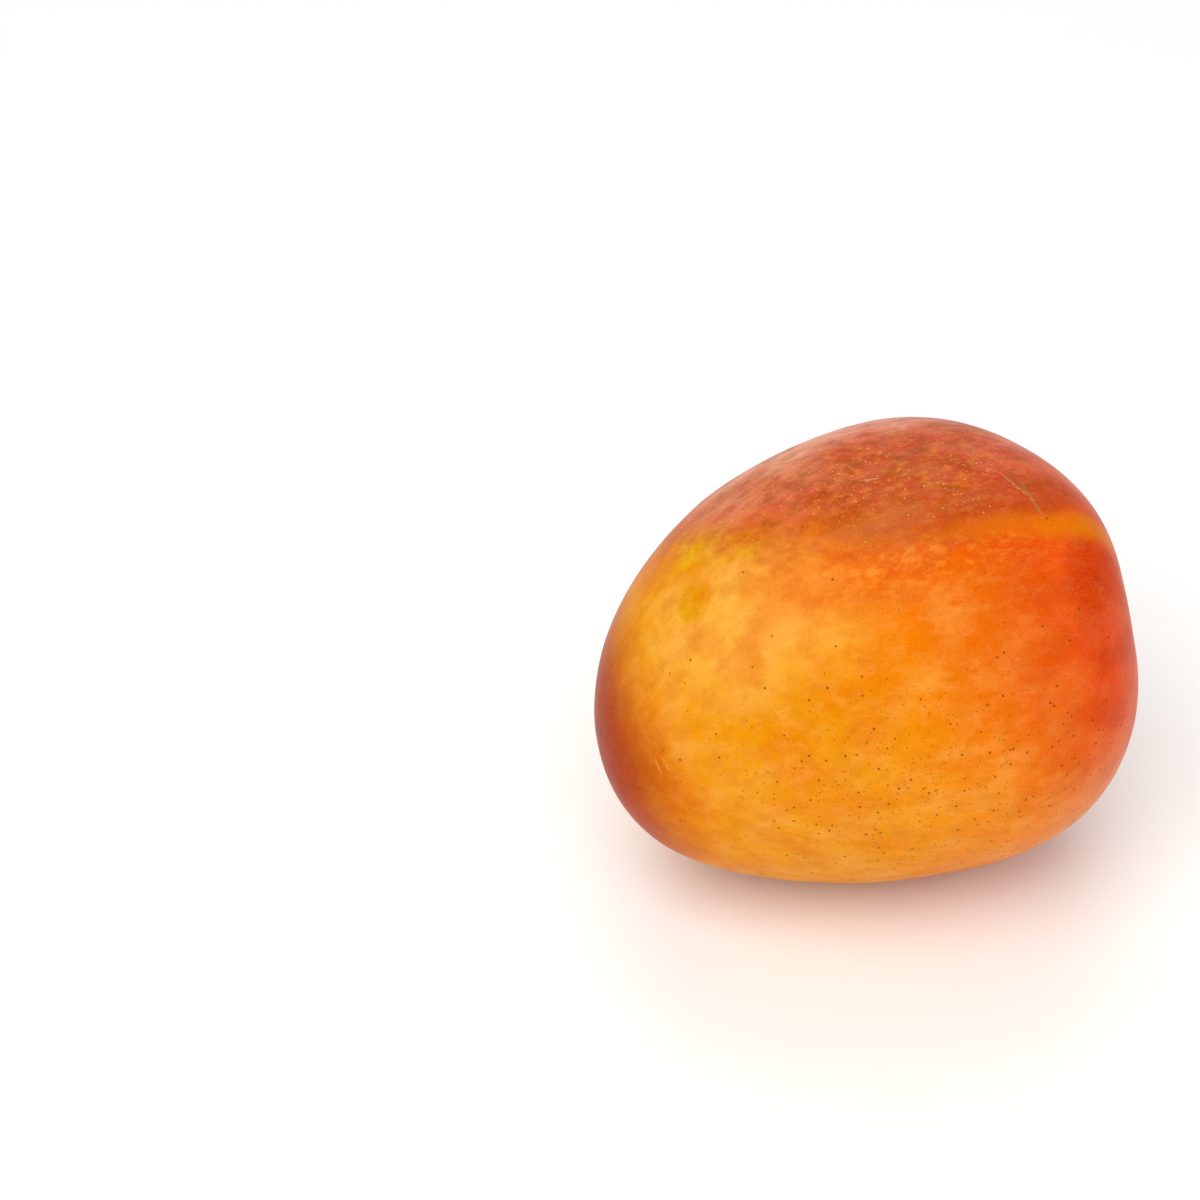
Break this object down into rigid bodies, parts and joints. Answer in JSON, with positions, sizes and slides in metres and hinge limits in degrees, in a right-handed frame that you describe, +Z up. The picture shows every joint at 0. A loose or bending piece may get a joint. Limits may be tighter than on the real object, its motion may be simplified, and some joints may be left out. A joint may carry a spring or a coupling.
{
  "type": "mango",
  "caption": "Whole ripe mango as picked, a plump lopsided oval lying on its flatter cheek, with a shallow stem pit and a dry stem stub.",
  "frame": {"origin": "middle of the small flat spot that the fruit rests on", "axes": "+X along the fruit towards its broad stem end, +Y across towards its fuller side, +Z up through the upper cheek"},
  "size_m": [0.1125, 0.0973, 0.0912],
  "materials": {
    "mango_skin": "satin waxy fruit skin, golden orange with a red blush and fine dark pores"
  },
  "bodies": {
    "root": {"mango": "mango_skin"}
  },
  "joints": []
}
